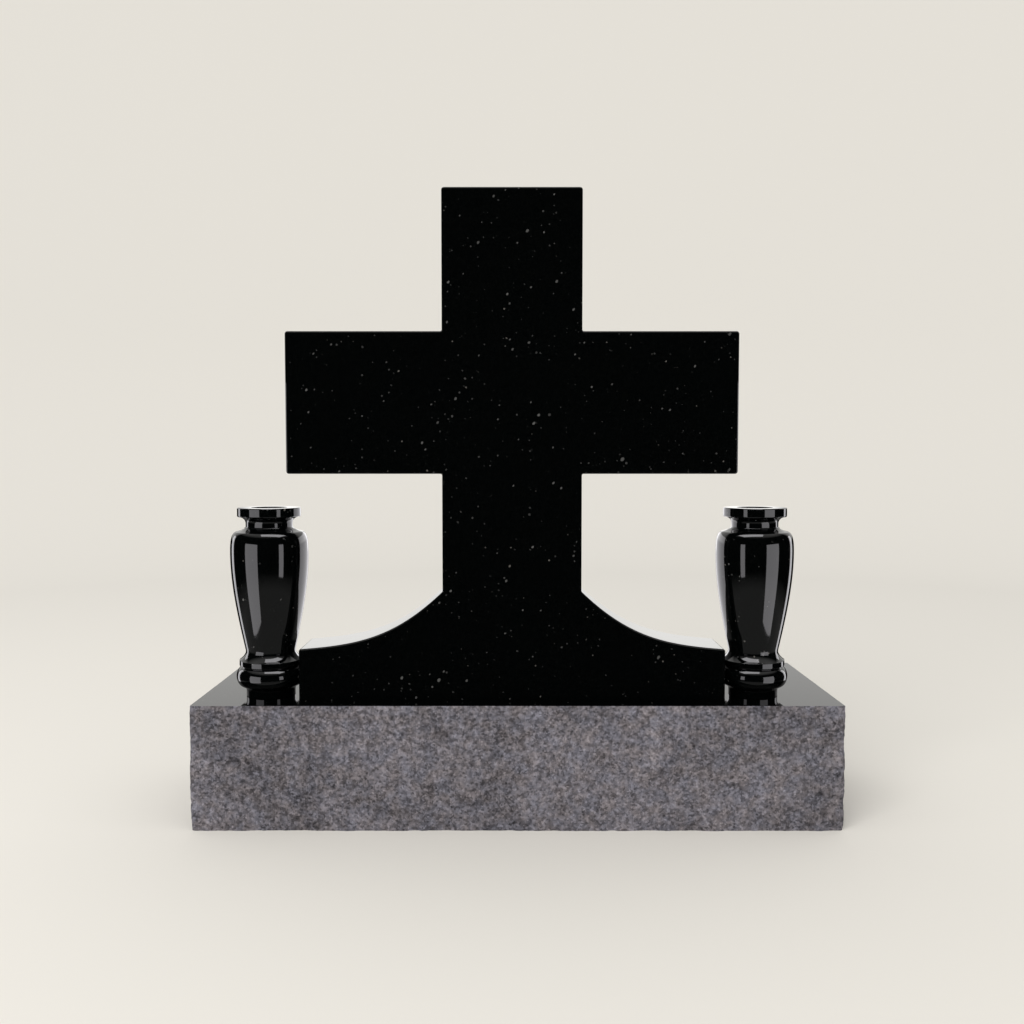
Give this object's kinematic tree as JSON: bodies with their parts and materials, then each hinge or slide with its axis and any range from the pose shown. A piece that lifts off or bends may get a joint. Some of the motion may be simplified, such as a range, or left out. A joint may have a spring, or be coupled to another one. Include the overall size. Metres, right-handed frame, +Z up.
{
  "type": "latin cross headstone",
  "caption": "Plain Latin cross headstone of polished black granite with a swept foot and turned flower vases, standing on a rock-faced base stone.",
  "frame": {"origin": "middle of the base stone's underside", "axes": "+Z up, -Y towards the viewer in front, +X to that viewer's right along the base"},
  "size_m": [1.072, 0.353, 1.0453],
  "materials": {
    "polished_black_granite": "polished black granite with small silvery and bronze flecks",
    "rock_faced_granite": "split grey granite, rough on its sides and polished on its top"
  },
  "bodies": {
    "root": {"base_stone": "rock_faced_granite", "cross_stone": "polished_black_granite", "vase_left": "polished_black_granite", "vase_right": "polished_black_granite"}
  },
  "joints": []
}
